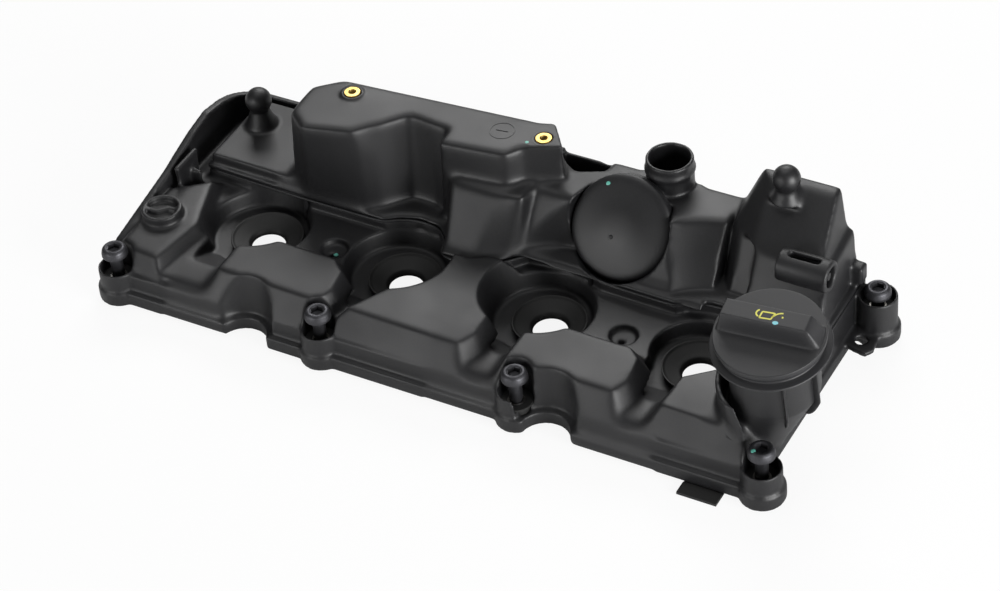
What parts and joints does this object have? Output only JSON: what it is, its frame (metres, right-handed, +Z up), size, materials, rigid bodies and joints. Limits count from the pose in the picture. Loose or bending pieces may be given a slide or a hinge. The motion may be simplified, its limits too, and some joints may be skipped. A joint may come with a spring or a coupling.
{
  "type": "engine valve cover",
  "caption": "Black moulded valve cover for a four-cylinder engine, with oil separator, pressure valve, breather stub, filler neck with a turning cap, injector seals and captive bolts.",
  "frame": {"origin": "on the sealing face, midway between the second and third injector wells, on the wells' line", "axes": "+X along the row of wells towards the filler neck, +Z up from the sealing face, -Y towards the bolt row with the notches"},
  "size_m": [0.4256, 0.1802, 0.1026],
  "materials": {
    "moulding": "matt glass-filled nylon",
    "separator": "matt glass-filled nylon",
    "inner_plastic": "matt moulded nylon",
    "cap_plastic": "matt moulded nylon",
    "seal_rubber": "matt rubber",
    "membrane": "smooth rubber",
    "bolt_steel": "dark zinc-plated steel",
    "sleeve_steel": "plain steel",
    "spring_steel": "bright spring wire",
    "brass": "turned brass"
  },
  "bodies": {
    "cover": {"cover_housing": "moulding", "separator_shell": "separator", "baffle_plate": "inner_plastic", "impactor_plate": "inner_plastic", "drain_valve": "membrane", "pcv_cap": "separator", "pcv_diaphragm": "membrane", "pcv_spring": "spring_steel", "perimeter_gasket": "seal_rubber", "cover_bolts": "bolt_steel", "bolt_sleeves": "sleeve_steel", "bolt_grommets": "seal_rubber", "insert_left": "brass", "insert_right": "brass", "injector_seal_1": "seal_rubber", "injector_seal_2": "seal_rubber", "injector_seal_3": "seal_rubber", "injector_seal_4": "seal_rubber"},
    "cap": {"filler_cap": "cap_plastic", "filler_cap_seal": "seal_rubber"},
    "valve_plate": {"pcv_plate": "inner_plastic"}
  },
  "joints": [
    {"name": "cap_turn", "type": "hinge", "parent": "cover", "child": "cap", "pos_m": [0.188, -0.0337, 0.08624], "axis": [0, -0.1564, 0.9877], "range_deg": [0, 90]},
    {"name": "valve_travel", "type": "slide", "parent": "cover", "child": "valve_plate", "axis": [0, 0.8192, -0.5736], "range_m": [0, 0.003], "stiffness_N_per_m": 200, "deforming": ["pcv_spring", "pcv_diaphragm"]}
  ]
}
